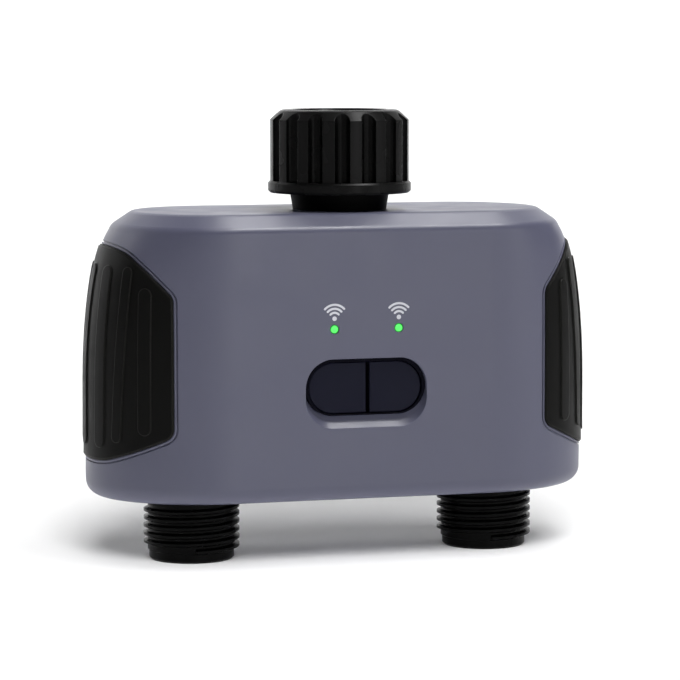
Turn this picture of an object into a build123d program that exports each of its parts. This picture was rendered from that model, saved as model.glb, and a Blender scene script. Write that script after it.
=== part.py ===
"""Two-outlet smart water timer for a garden tap: case, grips, buttons, valves, board and batteries.

Frame: millimetres, +Z up, +X to the right, the front (buttons) faces -Y.
Origin: under the middle of the case, on the plane of the outlets' lower ends.
"""
from build123d import *
import os
from math import cos, hypot, radians, sin, sqrt

os.makedirs("parts", exist_ok=True)

# Case outline: widths and depths of the plan at each level
base_z = 18.0              # underside of the case
case_height = 79.0         # underside to the flat crown
case_depth = 60.0          # front face to rear face
flat_width = 72.0          # flat stretch of the front and rear faces
foot_width = 143.8         # plan width just above the bottom rounding
belly_width = 143.5        # widest plan
belly_rise = 34.0          # height of the widest plan above the underside
waist_width = 141.2        # plan width on the way up
waist_rise = 52.0
shoulder_width = 136.3     # plan width where the sides start to round over
shoulder_drop = 13.0       # depth of that level below the crown
shoulder_swell = 0.35      # how far the rounding above that level swells, each side
brow_width = 128.4         # plan width at the lower edge of the top bevel
crown_width = 116.8        # plan width of the flat crown
crown_depth = 47.4         # plan depth of the flat crown
bevel_height = 3.9         # rise of the bevel round the crown
base_round = 4.4           # rounding under the case
least_round = 0.8          # smallest rounding under an inner form
round_steps = 4            # plans along that rounding
brow_soft = 1.3            # softening of the bevel's lower edge
crown_soft = 0.9           # softening of the bevel's upper edge
wall = 3.0                 # case wall
seam_y = 14.0              # plane where the two shells meet
gasket_inset = 1.6         # case gasket, from the outer surface
gasket_width = 0.8
gasket_depth = 1.0

# Rubber side grips, outline as seen from the front
grip_front_x = 53.5        # upright front edge of the outline
grip_front_low = 36.9      # ends of that edge
grip_front_high = 74.8
grip_knee_low_x = 70.0     # lower edge turns level here
grip_low = 29.2            # level lower edge at the side
grip_knee_high_x = 65.3    # upper edge turns level here
grip_high = 88.2           # level upper edge at the side
grip_corner = 3.5          # rounding of the outline's front corners
grip_knee = 8.0            # rounding of the outline's knees
grip_sink = 1.0            # depth of the pocket that holds the grip
grip_proud = 0.6           # how far the grip stands out of the case
grip_clear = 0.2           # gap between the grip and its pocket
grip_rim = 0.45            # width of the lower step round the grip's edge
grip_rim_drop = 0.3        # how much lower that step lies
rib_angles = (47, 33.5, 19, 0)    # ribs on the end curve, each side of its middle
rib_widths = (3.9, 3.2, 4.3, 4.3)
rib_leans = (0.0, 3.6, 0.8, 0.0)  # lean of each rib's top away from the middle, degrees
rib_reach = 6.0            # depth of the rib cutter, each way
rib_proud = 0.4
rib_top_margin = 5.3       # grip edge to the rib's upper end
rib_low_margin = 3.6       # grip edge to the rib's lower end
trim_offset = 0.5          # fine trim groove round the grip, from its pocket
trim_width = 0.45
trim_depth = 0.5

# Water passages: one inlet on top, two outlets below
pipe_y = -3.5              # plane of the inlet and outlet axes
outlet_spacing = 86.3      # between the outlet axes
thread_diameter = 26.8     # outer diameter of the garden-hose thread
thread_pitch = 25.4 / 11.5
thread_depth = 1.15
thread_root_width = 1.75   # ridge width at its foot
thread_crest_width = 0.7
thread_sink = 0.15         # how far the ridge reaches into its core
outlet_thread_turn = -98.0 # where the outlet's thread starts, from straight right
lead_radius = 11.88        # plain lead-in below the thread
lead_height = 2.5
lead_taper = 0.3           # run-out from the lead-in to the thread's core
lead_chamfer = 0.6
collar_radius = 13.0       # smooth collar between thread and case
collar_height = 2.0
outlet_bore = 9.0          # mouth of the outlet
bore_taper = 3.0           # the bore narrows this far below the case
seat_bore = 6.0            # waterway through the valve seat
seat_radius = 8.0          # outside of the seat pipe
flange_radius = 17.0       # outlet flange that rests on the case floor
flange_height = 2.4
plug_radius = 9.5          # part of the outlet that plugs into the valve chamber
plug_height = 5.0
ring_section = 0.58        # o-ring cross-section radius
ring_gap = 0.02            # around an o-ring in its groove
ring_side = 0.05           # above and below it
socket_clear = 0.05        # tailpiece in the stem's socket
plug_clear = 0.1

# Valve chambers and manifold
chamber_radius = 17.2
chamber_bore = 11.5
chamber_floor = 3.5
chamber_height = 22.0
cross_radius = 8.0         # tube between the chambers
cross_bore = 6.0
cross_rise = 11.5          # tube axis above the chamber's underside
stem_radius = 11.0         # upright inlet stem of the manifold
stem_bore = 8.0
seat_gap = 0.05            # seat to diaphragm
diaphragm_radius = 13.4
diaphragm_thickness = 1.2
core_radius = 7.2          # stiff disc that backs the diaphragm
core_height = 2.0
core_lift = 2.4
nub_radius = 2.0
nub_height = 1.4
core_room = 0.8            # free height over the raised core
bonnet_flange = 4.5        # bonnet flange thickness
bonnet_dome_radius = 11.5
bonnet_roof = 2.5          # material between the cavity and the coil
bonnet_cavity_radius = 9.0
clamp_circle = 15.1        # circle of the long valve screws
clamp_count = 4
clamp_radius = 1.2
clamp_head_radius = 2.0
clamp_head_height = 1.6
clamp_turn = 45            # angle of the first screw
clamp_seat = 0.4           # solid under a screw's hole in the outlet flange
clamp_start = 0.6          # screw's lower end above the case floor
clamp_fit = 0.02           # round the screw's thread
hole_clear = 0.1

# Solenoids
tube_radius = 5.0
tube_bore = 4.05
tube_height = 28.0
tube_cap = 1.5
tube_fit = 0.02            # pole piece in the tube, and the tube in its nut
plunger_radius = 4.0
plunger_length = 20.0
pole_length = 6.5
spring_radius = 1.8
spring_wire = 0.35
spring_turns = 6
spring_pocket_radius = 2.5
spring_pocket_depth = 4.0
yoke_thickness = 1.2
yoke_width = 16.0
bobbin_radius = 11.8
bobbin_flange = 1.2
bobbin_wall = 1.0
bobbin_height = 21.6
winding_radius = 11.0
coil_clear = 0.1
coil_nut_radius = 7.0
coil_nut_height = 2.0

# Swivel inlet
nut_radius = 19.5
nut_flange_radius = 20.1
nut_flange_height = 3.3
nut_edge = 0.6             # bevels on the flange
nut_height = 23.15
nut_chamfer_run = 3.6      # top chamfer, inwards
nut_chamfer_rise = 2.8     # top chamfer, downwards
nut_brim_run = 0.9         # shallow end of that chamfer, inwards
nut_brim_rise = 0.35       # shallow end of that chamfer, downwards
nut_flutes = 16
flute_radius = 2.1
flute_inset = 0.05         # flute centres inside the nut's outer surface
nut_phase = -14.0          # angle of the first flute from straight ahead
nut_bore = 12.35           # crests of the internal hose thread
nut_thread_depth = 1.1
nut_thread_turns = 2.5
nut_mouth_chamfer = 1.0
nut_thread_start = 12.0    # lower end of the thread above the nut's underside
nut_floor = 3.5
swivel_clear = 0.08        # running clearance round the tailpiece
end_float = 0.1            # gap above and below the nut's floor
neck_height = 4.6          # conical neck between the case and the nut
neck_low_radius = 13.15
neck_high_radius = 13.9
tail_radius = 9.3
tail_bore = 7.0
tail_plug = 11.4           # length of tailpiece inside the stem
tail_flange_radius = 11.6
tail_flange_height = 2.0
washer_radius = 12.7
washer_clear = 0.35        # round the washer, in the nut's seat
washer_bore = 7.6
washer_height = 2.7
screen_rim = 7.5           # flat rim inside the washer
screen_rise = 3.4          # depth of the screen's dome
screen_thickness = 0.5
screen_clear = 0.3         # dome to the tailpiece's bore
screen_hole = 0.55
screen_rows = 3
screen_pitch = 1.7
screen_turn = 0.74         # share of the dome's radius where its arc passes
screen_turn_rise = 0.51    # share of its rise there

# Buttons: one rounded opening with two half buttons
button_z = 49.5
opening_width = 34.4
opening_height = 15.8
scoop_drop = 3.3           # how far the scoop reaches below the opening
scoop_depth = 2.3          # how deep it is at the opening's lower edge
scoop_turn_drop = 1.5      # its steep outer part ends here, below the opening
scoop_turn_depth = 1.8     # and at this depth
scoop_extra = 0.15         # how much wider the scoop is, each side
scoop_end_drop = 0.02      # reach below the opening where the scoop ends
bezel_sink = 1.2           # ring behind the front face
bezel_side = 0.9           # ring width at the ends
bezel_top = 0.9
bezel_bottom = 0.4
bezel_clear = 0.05
bezel_flange = 2.0
bezel_flange_height = 1.0
button_pad = 3.0           # rim of the thick wall behind the opening
button_wall = 4.8          # wall thickness behind the front face, round the opening
button_clear = 0.15
button_gap = 1.05          # between the two buttons
button_split = 0.8         # middle of that gap, right of the centre
button_sink = 1.7          # button faces behind the front face
button_edge = 0.35
button_lip = 0.9
button_lip_height = 0.7
button_lip_gap = 0.1       # between the ring and the buttons' lip
dome_low_radius = 3.2
dome_high_radius = 2.0
dome_wall = 0.4

# Lights
light_spacing = 18.4
light_z = 65.6
light_radius = 1.3
light_clear = 0.05
light_flange = 1.0
light_flange_height = 0.8
light_gap = 0.1            # light pipe to chip
chip_width = 2.4
chip_height = 1.4

# Circuit board
board_face_y = -21.9       # front face of the board
board_thickness = 1.6
board_width = 66.0
board_height = 50.0
board_low = 36.0
board_hole_inset = 4.0
board_post_radius = 2.8
board_screw_radius = 0.95
board_screw_head = 2.0
board_screw_head_height = 1.3
board_screw_length = 5.0
module_width = 18.0
module_height = 25.0
module_thickness = 3.2
module_rise = 22.0         # above the board's lower edge

# Board components: place across, level, width, height and thickness
processor = (-24, 50, 10, 10, 1.6)
memory = (-24, 66, 5, 8, 1.4)
valve_driver = (24, 46, 6, 9, 1.8)
regulator = (20, 62, 7, 5, 1.6)
capacitor = (26, 70, 4, 7, 3.0)
valve_socket = (-8, 42, 12, 4, 3.0)
crystal = (10, 42, 5, 4, 1.6)

# Batteries, their box and door
cell_radius = 7.1
cell_length = 49.2
cell_nub_radius = 2.7
cell_nub_height = 1.3
cell_count = 4
cell_pitch = 14.7
cell_clear = 0.1
side_room = 0.85           # between the outer cells and the box
contact_thickness = 0.5
contact_width = 9.0
box_wall = 1.5
box_low = 33.0             # underside of the battery box
frame_pad = 1.5            # thicker wall round the door opening
frame_margin = 1.5
door_ledge = 2.8           # width of the ledge round the opening
door_thickness = 1.8
door_clear = 0.2
door_inset = 0.1           # door's outer face, in from the rear face
door_rest = 0.3            # ledge behind the door's inner face
door_gasket_width = 1.1
door_gasket_height = 0.9
hinge_radius = 0.6
hinge_length = 1.4
hinge_clear = 0.05
hinge_room = 0.3           # below the door's round lower edge
hinge_end_room = 0.2       # past each end of the hinge pin
door_rib_height = 2.2
door_rib_width = 1.2
door_rib_inset = 6.0       # ends of the ribs, in from the opening
door_corner = 3.0
notch_radius = 6.0
notch_depth = 1.8

# Case screws
case_post_radius = 3.4
case_post_length = 7.5
post_sink = 0.6            # how far a corner post stands in the case wall
post_web_reach = 9.0       # web from a corner post into the wall
post_web = 2.0             # its thickness
post_sleeve = 0.5          # extra radius of the rear shell's screw sleeves
pilot_end = 1.0            # solid end of a screw's pilot hole
pilot_clear = 0.05
case_screw_radius = 1.25
case_screw_head = 2.6
case_screw_head_height = 1.8
case_screw_length = 10.5
case_screw_seat = 4.5      # screw seat behind the seam
case_screw_clear = 0.3
cross_length = 2.8         # cross recess of the case screws
cross_width = 0.7
cross_depth = 1.0
case_low_rise = 9.5        # lower screws above the underside
case_high_drop = 9.0       # upper screws below the crown
middle_screw_x = 14.0
middle_screw_rise = 8.0

over = 1.0                 # how far a cut runs past the face that it opens

# Derived levels
crown_z = base_z + case_height
brow_z = crown_z - bevel_height
floor_z = base_z + wall
front_y = -case_depth / 2
rear_y = case_depth / 2
flat_half = flat_width / 2
manifold_z = floor_z + flange_height
rim_z = manifold_z + chamber_height
cross_z = manifold_z + cross_rise
core_z = rim_z + diaphragm_thickness
cavity_z = core_z + core_height + core_lift + core_room
dome_z = cavity_z + bonnet_roof
tube_top_z = dome_z + tube_height
plunger_z = core_z + core_height + nub_height + seat_gap
plunger_top_z = plunger_z + plunger_length
pole_z = tube_top_z - tube_cap - pole_length
neck_z = crown_z + neck_height
nut_z = neck_z + end_float
nut_top_z = nut_z + nut_height
nut_floor_z = nut_z + nut_floor
tail_flange_z = nut_floor_z + end_float
washer_z = tail_flange_z + tail_flange_height
button_back_y = front_y + button_wall
bezel_back_y = button_back_y + bezel_flange_height
lip_front_y = bezel_back_y + button_lip_gap
lip_back_y = lip_front_y + button_lip_height
board_back_y = board_face_y + board_thickness
cells_half = (cell_count - 1) * cell_pitch / 2 + cell_radius + side_room
opening_low = box_low + box_wall
opening_high = opening_low + cell_length + cell_nub_height + 2 * contact_thickness + cell_clear
box_high = opening_high + box_wall
door_y = rear_y - door_inset - door_thickness
ledge_y = door_y - door_rest
frame_y = rear_y - wall - frame_pad
hinge_y = door_y + door_thickness / 2
recess_low = opening_low - door_ledge
recess_high = opening_high + door_ledge
recess_half = cells_half + door_ledge
hinge_z = recess_low + door_thickness / 2 + hinge_room
hinge_hole_half = recess_half + hinge_length + hinge_end_room
box_front_y = frame_y - 2 * cell_radius - box_wall
cell_y = box_front_y + box_wall + cell_clear + cell_radius
sides = (("left", -1), ("right", 1))


def save(piece, name):
    """Label a finished piece and write it."""
    piece.part.label = name
    export_step(piece.part, f"parts/{name}.step")


def case_levels(grow):
    """Plan sizes (z, half width, half depth) of the case, grown outwards by an offset."""
    low = base_z - grow
    turn = max(base_round + grow, least_round)
    foot = (low + turn, foot_width / 2 + grow, rear_y + grow)
    belly = (base_z + belly_rise, belly_width / 2 + grow, rear_y + grow)
    waist = (base_z + waist_rise, waist_width / 2 + grow, rear_y + grow)
    shoulder = (crown_z - shoulder_drop, shoulder_width / 2 + grow, rear_y + grow)
    brow = (brow_z + grow / 2, brow_width / 2 + grow, rear_y + grow)
    crown = (crown_z + grow, crown_width / 2 + grow, crown_depth / 2 + grow)

    def between(start, end, share):
        return tuple(a + (b - a) * share for a, b in zip(start, end))

    def eased(start, corner, end):
        middle = tuple(a / 4 + b / 2 + c / 4 for a, b, c in zip(start, corner, end))
        return [start, middle, end]

    rounding = []
    for step in range(round_steps + 1):
        angle = radians(90 * step / round_steps)
        inset = turn * (1 - sin(angle))
        rounding.append((low + turn * (1 - cos(angle)), foot[1] - inset, foot[2] - inset))
    slope = hypot(brow[2] - crown[2], crown[0] - brow[0])
    wall_end = between(brow, shoulder, brow_soft / (brow[0] - shoulder[0]))
    swell = between(shoulder, wall_end, 0.5)
    swell = (swell[0], swell[1] + shoulder_swell, swell[2])
    bevel_start = between(brow, crown, brow_soft / slope)
    bevel_end = between(crown, brow, crown_soft / slope)
    flat_start = (crown[0], crown[1] - crown_soft, crown[2] - crown_soft)
    return [
        rounding,
        [foot, between(foot, belly, 0.5), belly, waist, shoulder, swell, wall_end],
        eased(wall_end, brow, bevel_start),
        [bevel_start, bevel_end],
        eased(bevel_end, crown, flat_start),
    ]


def loft_levels(levels):
    """Loft plans made of two straight faces and two half-ellipse ends."""
    plans = []
    for z, half_width, half_depth in levels:
        end_run = half_width - flat_half
        with BuildSketch(Plane.XY.offset(z)) as plan:
            with BuildLine():
                Line((-flat_half, -half_depth), (flat_half, -half_depth))
                EllipticalCenterArc((flat_half, 0), end_run, half_depth, -90, arc_size=90)
                EllipticalCenterArc((flat_half, 0), end_run, half_depth, 0, arc_size=90)
                Line((flat_half, half_depth), (-flat_half, half_depth))
                EllipticalCenterArc((-flat_half, 0), end_run, half_depth, 90, arc_size=90)
                EllipticalCenterArc((-flat_half, 0), end_run, half_depth, 180, arc_size=90)
            make_face()
        plans.append(plan.sketch)
    loft(plans)


def case_form(grow):
    """Solid of the case's outer surface, grown by an offset."""
    with BuildPart() as form:
        for zone in case_levels(grow):
            loft_levels(zone)
    return form.part


def half_width_at(z):
    """Half width of the case's plan at a level."""
    heights = [base_z + base_round, base_z + belly_rise, base_z + waist_rise]
    heights += [crown_z - shoulder_drop, brow_z, crown_z]
    widths = [foot_width, belly_width, waist_width, shoulder_width, brow_width, crown_width]
    for low, high, start, end in zip(heights, heights[1:], widths, widths[1:]):
        if z <= high:
            return (start + (end - start) * max(z - low, 0) / (high - low)) / 2
    return crown_width / 2


def wall_x(z, y):
    """Where the case's inner wall stands at a level and a depth."""
    run = half_width_at(z) - wall - flat_half
    return flat_half + run * sqrt(1 - (y / (rear_y - wall)) ** 2)


def turned(x, y, *points):
    """Revolve a closed outline of (radius, z) points about the upright axis at x, y."""
    with BuildSketch(Plane((x, y, 0), x_dir=(1, 0, 0), z_dir=(0, -1, 0))) as profile:
        with BuildLine():
            Polyline(*points, close=True)
        make_face()
    revolve(profile.sketch, axis=Axis((x, y, 0), (0, 0, 1)))


def disc(x, y, radius, low, high, mode=Mode.ADD):
    """Upright round bar between two levels."""
    with BuildSketch(Plane((x, y, low))) as section:
        Circle(radius)
    extrude(section.sketch, amount=high - low, mode=mode)


def rod(x, z, radius, near, far, mode=Mode.ADD):
    """Round bar along Y between two depths."""
    with BuildSketch(Plane((x, near, z), x_dir=(1, 0, 0), z_dir=(0, 1, 0))) as section:
        Circle(radius)
    extrude(section.sketch, amount=far - near, mode=mode)


def block(x_low, x_high, y_low, y_high, z_low, z_high, mode=Mode.ADD):
    """Straight block between its limits."""
    with BuildSketch(Plane(((x_low + x_high) / 2, (y_low + y_high) / 2, z_low))) as section:
        Rectangle(x_high - x_low, y_high - y_low)
    extrude(section.sketch, amount=z_high - z_low, mode=mode)


def pill(width, height, near, far, mode=Mode.ADD, drop=0):
    """Round-ended bar along Y, centred on the buttons' opening or a little below it."""
    with BuildSketch(Plane((0, near, button_z - drop), x_dir=(1, 0, 0), z_dir=(0, 1, 0))) as section:
        SlotOverall(width, height)
    extrude(section.sketch, amount=far - near, mode=mode)


def grip_prism(side, grow):
    """The grip's outline, grown by an offset, cut right through the case front to back."""
    outer = belly_width / 2 + 12
    corners = [
        (grip_front_x, grip_front_low), (grip_knee_low_x, grip_low), (outer, grip_low),
        (outer, grip_high), (grip_knee_high_x, grip_high), (grip_front_x, grip_front_high),
    ]
    with BuildPart() as prism:
        with BuildSketch(Plane.XZ):
            with BuildLine():
                Polyline(*[(side * x, z) for x, z in corners], close=True)
            make_face()
            knees = sorted(vertices(), key=lambda corner: abs(corner.X))[2:4]
            fillet(knees, grip_knee)
            front_corners = sorted(vertices(), key=lambda corner: abs(corner.X))[:2]
            fillet(front_corners, grip_corner)
            if grow:
                offset(amount=grow, kind=Kind.INTERSECTION)
        extrude(amount=case_depth, both=True)
    return prism.part


def grip_limits(x):
    """Lower and upper edge of the grip's outline at a distance from the middle."""
    low_share = min((x - grip_front_x) / (grip_knee_low_x - grip_front_x), 1)
    high_share = min((x - grip_front_x) / (grip_knee_high_x - grip_front_x), 1)
    low = grip_front_low + (grip_low - grip_front_low) * low_share
    high = grip_front_high + (grip_high - grip_front_high) * high_share
    return low, high


def case_screw_places():
    """(x, z) of the case screws."""
    low_z, high_z = base_z + case_low_rise, crown_z - case_high_drop
    places = []
    for side in (-1, 1):
        for z in (low_z, high_z):
            places.append((side * (wall_x(z, seam_y) - case_post_radius + post_sink), z))
        places.append((side * middle_screw_x, base_z + middle_screw_rise))
    return places


def board_screw_places():
    """(x, z) of the board screws."""
    across = board_width / 2 - board_hole_inset
    low = board_low + board_hole_inset
    high = board_low + board_height - board_hole_inset
    return [(x, z) for x in (-across, across) for z in (low, high)]


# Case forms shared by the shells, gasket and grips
outer_form = case_form(0)
inner_form = case_form(-wall)
trim_form = case_form(-trim_depth)
pocket_form = case_form(-grip_sink)
grip_form = case_form(grip_proud)
grip_rim_form = case_form(grip_proud - grip_rim_drop)
rib_form = case_form(grip_proud + rib_proud)
gasket_outer = case_form(-gasket_inset)
gasket_inner = case_form(-gasket_inset - gasket_width)

with BuildPart() as gasket_track:
    add(gasket_outer)
    add(gasket_inner, mode=Mode.SUBTRACT)
    with BuildSketch(Plane.XZ.offset(-seam_y)):
        Rectangle(2 * belly_width, 2 * (crown_z + base_z))
    extrude(amount=gasket_depth, mode=Mode.INTERSECT)

# Pockets and trim grooves for both grips
with BuildPart() as grip_cuts:
    for name, side in sides:
        add(grip_prism(side, grip_clear))
    add(pocket_form, mode=Mode.SUBTRACT)
with BuildPart() as trim_cuts:
    for name, side in sides:
        add(grip_prism(side, grip_clear + trim_offset + trim_width))
    for name, side in sides:
        add(grip_prism(side, grip_clear + trim_offset), mode=Mode.SUBTRACT)
    add(trim_form, mode=Mode.SUBTRACT)

# Groove round the battery opening for the door gasket
with BuildPart() as gasket_seat:
    gasket_mid = door_ledge / 2
    for reach, mode in ((door_gasket_width / 2, Mode.ADD), (-door_gasket_width / 2, Mode.SUBTRACT)):
        grow = gasket_mid + reach
        block(-cells_half - grow, cells_half + grow, door_y - door_gasket_height, door_y,
              opening_low - grow, opening_high + grow, mode)

# Case shells
with BuildPart() as front_posts:
    for x, z in case_screw_places():
        rod(x, z, case_post_radius, seam_y - case_post_length, seam_y)
        if abs(x) > flat_half:
            edge = x + (post_web_reach if x > 0 else -post_web_reach)
            block(min(x, edge), max(x, edge), seam_y - case_post_length, seam_y,
                  z - post_web / 2, z + post_web / 2)
        else:
            block(x - post_web / 2, x + post_web / 2, seam_y - case_post_length, seam_y, base_z, z)
    for x, z in board_screw_places():
        rod(x, z, board_post_radius, front_y, board_face_y)
    pill(opening_width + 2 * button_pad, opening_height + 2 * button_pad, front_y, button_back_y)
    add(outer_form, mode=Mode.INTERSECT)

with BuildPart() as scoop:
    for near, far in (
            ((0, scoop_drop, scoop_extra), (scoop_turn_depth, scoop_turn_drop, 0)),
            ((scoop_turn_depth, scoop_turn_drop, 0), (scoop_depth, scoop_end_drop, 0))):
        for depth, drop, extra in (near, far):
            with BuildSketch(Plane((0, front_y + depth, button_z), x_dir=(1, 0, 0), z_dir=(0, -1, 0))):
                with Locations((0, -drop / 2)):
                    RectangleRounded(
                        opening_width + 2 * extra, opening_height + drop, opening_height / 2)
        loft()
    pill(opening_width, opening_height, front_y - over, button_back_y + over)

with BuildPart() as front_shell:
    add(outer_form)
    add(inner_form, mode=Mode.SUBTRACT)
    split(bisect_by=Plane.XZ.offset(-seam_y), keep=Keep.TOP)
    add(front_posts.part)
    add(grip_cuts.part, mode=Mode.SUBTRACT)
    add(trim_cuts.part, mode=Mode.SUBTRACT)
    add(gasket_track.part, mode=Mode.SUBTRACT)
    add(scoop.part, mode=Mode.SUBTRACT)
    for name, side in sides:
        rod(side * light_spacing / 2, light_z, light_radius + light_clear,
            front_y - over, front_y + wall + over, Mode.SUBTRACT)
        disc(side * outlet_spacing / 2, pipe_y, collar_radius + hole_clear,
             base_z - over, floor_z + over, Mode.SUBTRACT)
    disc(0, pipe_y, stem_radius + hole_clear, crown_z - 2 * wall, crown_z + over, Mode.SUBTRACT)
    for x, z in case_screw_places():
        rod(x, z, case_screw_radius + pilot_clear, seam_y - case_post_length + pilot_end,
            seam_y + over, Mode.SUBTRACT)
    for x, z in board_screw_places():
        rod(x, z, board_screw_radius + pilot_clear, front_y + wall, board_face_y + over, Mode.SUBTRACT)
save(front_shell, "front_shell")


def door_frame(half_width, z_low, z_high, round_top, near, far, mode=Mode.ADD):
    """Upright panel with rounded upper corners, between two depths."""
    middle = (z_low + z_high) / 2
    with BuildSketch(Plane((0, far, middle), x_dir=(1, 0, 0), z_dir=(0, -1, 0))) as panel:
        Rectangle(2 * half_width, z_high - z_low)
        if round_top:
            fillet(vertices().group_by(Axis.Y)[-1], round_top)
    extrude(panel.sketch, amount=far - near, mode=mode)


with BuildPart() as rear_inside:
    for x, z in case_screw_places():
        rod(x, z, case_post_radius + post_sleeve, seam_y, rear_y)
        if abs(x) > flat_half:
            edge = x + (post_web_reach if x > 0 else -post_web_reach)
            block(min(x, edge), max(x, edge), seam_y, rear_y, z - post_web / 2, z + post_web / 2)
    door_frame(recess_half + frame_margin, recess_low - frame_margin, recess_high + frame_margin,
               0, frame_y, rear_y - wall / 2)
    add(outer_form, mode=Mode.INTERSECT)

with BuildPart() as rear_shell:
    add(outer_form)
    add(inner_form, mode=Mode.SUBTRACT)
    split(bisect_by=Plane.XZ.offset(-seam_y), keep=Keep.BOTTOM)
    add(rear_inside.part)
    add(grip_cuts.part, mode=Mode.SUBTRACT)
    add(trim_cuts.part, mode=Mode.SUBTRACT)
    door_frame(recess_half, recess_low, recess_high, door_corner, ledge_y, rear_y + over, Mode.SUBTRACT)
    door_frame(cells_half, opening_low, opening_high, 0, frame_y - over, rear_y, Mode.SUBTRACT)
    rod(0, recess_high, notch_radius, rear_y - notch_depth, rear_y + over, Mode.SUBTRACT)
    for x, z in case_screw_places():
        rod(x, z, case_screw_radius + case_screw_clear, seam_y - over, rear_y + over, Mode.SUBTRACT)
        rod(x, z, case_screw_head + case_screw_clear, seam_y + case_screw_seat, rear_y + over, Mode.SUBTRACT)
    with BuildSketch(Plane((-hinge_hole_half, hinge_y, hinge_z), z_dir=(1, 0, 0))):
        Circle(hinge_radius + hinge_clear)
    extrude(amount=2 * hinge_hole_half, mode=Mode.SUBTRACT)
    add(gasket_seat.part, mode=Mode.SUBTRACT)
save(rear_shell, "rear_shell")

with BuildPart() as shell_gasket:
    add(gasket_track.part)
save(shell_gasket, "shell_gasket")

with BuildPart() as case_screws:
    for x, z in case_screw_places():
        seat = seam_y + case_screw_seat
        rod(x, z, case_screw_radius, seat - case_screw_length, seat)
        rod(x, z, case_screw_head, seat, seat + case_screw_head_height)
        for across, up in ((cross_length, cross_width), (cross_width, cross_length)):
            block(x - across / 2, x + across / 2, seat + case_screw_head_height - cross_depth,
                  seat + case_screw_head_height, z - up / 2, z + up / 2, Mode.SUBTRACT)
save(case_screws, "case_screws")

# Rubber grips with their ribs
for name, side in sides:
    end_run = belly_width / 2 - flat_half
    rib_places = [(way * angle, width, way * lean) for way in (-1, 1)
                  for angle, width, lean in zip(rib_angles, rib_widths, rib_leans)
                  if angle or way > 0]
    with BuildPart() as ribs:
        for angle, width, lean in rib_places:
            turn = radians(angle)
            x, y = flat_half + end_run * cos(turn), rear_y * sin(turn)
            low, high = grip_limits(x)
            low, high = low + rib_low_margin, high - rib_top_margin
            outwards = (side * cos(turn) / end_run, sin(turn) / rear_y, 0)
            along = (-outwards[1], outwards[0], 0)
            with BuildSketch(Plane((side * x, y, (low + high) / 2), x_dir=along, z_dir=outwards)):
                SlotOverall(high - low, width, rotation=90 - side * lean)
            extrude(amount=rib_reach, both=True)
        add(rib_form, mode=Mode.INTERSECT)
        add(pocket_form, mode=Mode.SUBTRACT)
    with BuildPart() as grip_rim_block:
        add(grip_rim_form)
        add(grip_prism(side, 0), mode=Mode.INTERSECT)
    with BuildPart() as grip:
        add(grip_form)
        add(grip_prism(side, -grip_rim), mode=Mode.INTERSECT)
        add(grip_rim_block.part)
        add(pocket_form, mode=Mode.SUBTRACT)
        add(ribs.part)
    save(grip, f"{name}_grip")


def ring(x, y, ring_radius, section, z):
    """Round-section ring about the upright axis at x, y."""
    with BuildSketch(Plane((x, y, z), x_dir=(1, 0, 0), z_dir=(0, -1, 0))) as profile:
        with Locations((ring_radius, 0)):
            Circle(section)
    revolve(profile.sketch, axis=Axis((x, y, 0), (0, 0, 1)))


def thread_form(x, y, radius, depth, low, high, start=0.0):
    """Helical ridge that stands out of a radius by a depth, from a start angle upwards."""
    path = Helix(thread_pitch, high - low, radius, center=(x, y, low))
    path = path.rotate(Axis((x, y, 0), (0, 0, 1)), start)
    outwards = (cos(radians(start)), sin(radians(start)), 0)
    with BuildSketch(Plane(path @ 0, x_dir=outwards, z_dir=path % 0)) as profile:
        with BuildLine():
            Polyline(
                (-thread_sink, -thread_root_width / 2), (depth, -thread_crest_width / 2),
                (depth, thread_crest_width / 2), (-thread_sink, thread_root_width / 2), close=True)
        make_face()
    with BuildPart() as ridge:
        sweep(profile.sketch, path=path, is_frenet=True)
    return ridge.part


# Swivel inlet: hose nut, neck, tailpiece, washer and screen
nut_seat_z = washer_z + washer_height + washer_clear
with BuildPart() as inlet_nut:
    turned(
        0, pipe_y,
        (tail_radius + swivel_clear, nut_z), (nut_flange_radius - nut_edge, nut_z),
        (nut_flange_radius, nut_z + nut_edge),
        (nut_flange_radius, nut_z + nut_flange_height - nut_edge),
        (nut_radius, nut_z + nut_flange_height), (nut_radius, nut_top_z - nut_chamfer_rise),
        (nut_radius - nut_chamfer_run + nut_brim_run, nut_top_z - nut_brim_rise),
        (nut_radius - nut_chamfer_run, nut_top_z), (nut_bore + nut_mouth_chamfer, nut_top_z),
        (nut_bore, nut_top_z - nut_mouth_chamfer), (nut_bore, nut_seat_z),
        (washer_radius + washer_clear, nut_seat_z), (washer_radius + washer_clear, nut_floor_z),
        (tail_radius + swivel_clear, nut_floor_z))
    with BuildSketch(Plane((0, pipe_y, nut_z + nut_flange_height))):
        with PolarLocations(nut_radius - flute_inset, nut_flutes, start_angle=nut_phase - 90):
            Circle(flute_radius)
    extrude(amount=nut_height, mode=Mode.SUBTRACT)
    thread_low = nut_z + nut_thread_start
    thread_high = thread_low + nut_thread_turns * thread_pitch
    add(thread_form(0, pipe_y, nut_bore, nut_thread_depth, thread_low, thread_high),
        mode=Mode.SUBTRACT)
save(inlet_nut, "inlet_nut")

with BuildPart() as inlet_collar:
    turned(
        0, pipe_y,
        (stem_radius + hole_clear / 2, crown_z), (neck_low_radius, crown_z),
        (neck_high_radius, neck_z), (stem_radius + hole_clear / 2, neck_z))
save(inlet_collar, "inlet_collar")

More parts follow.
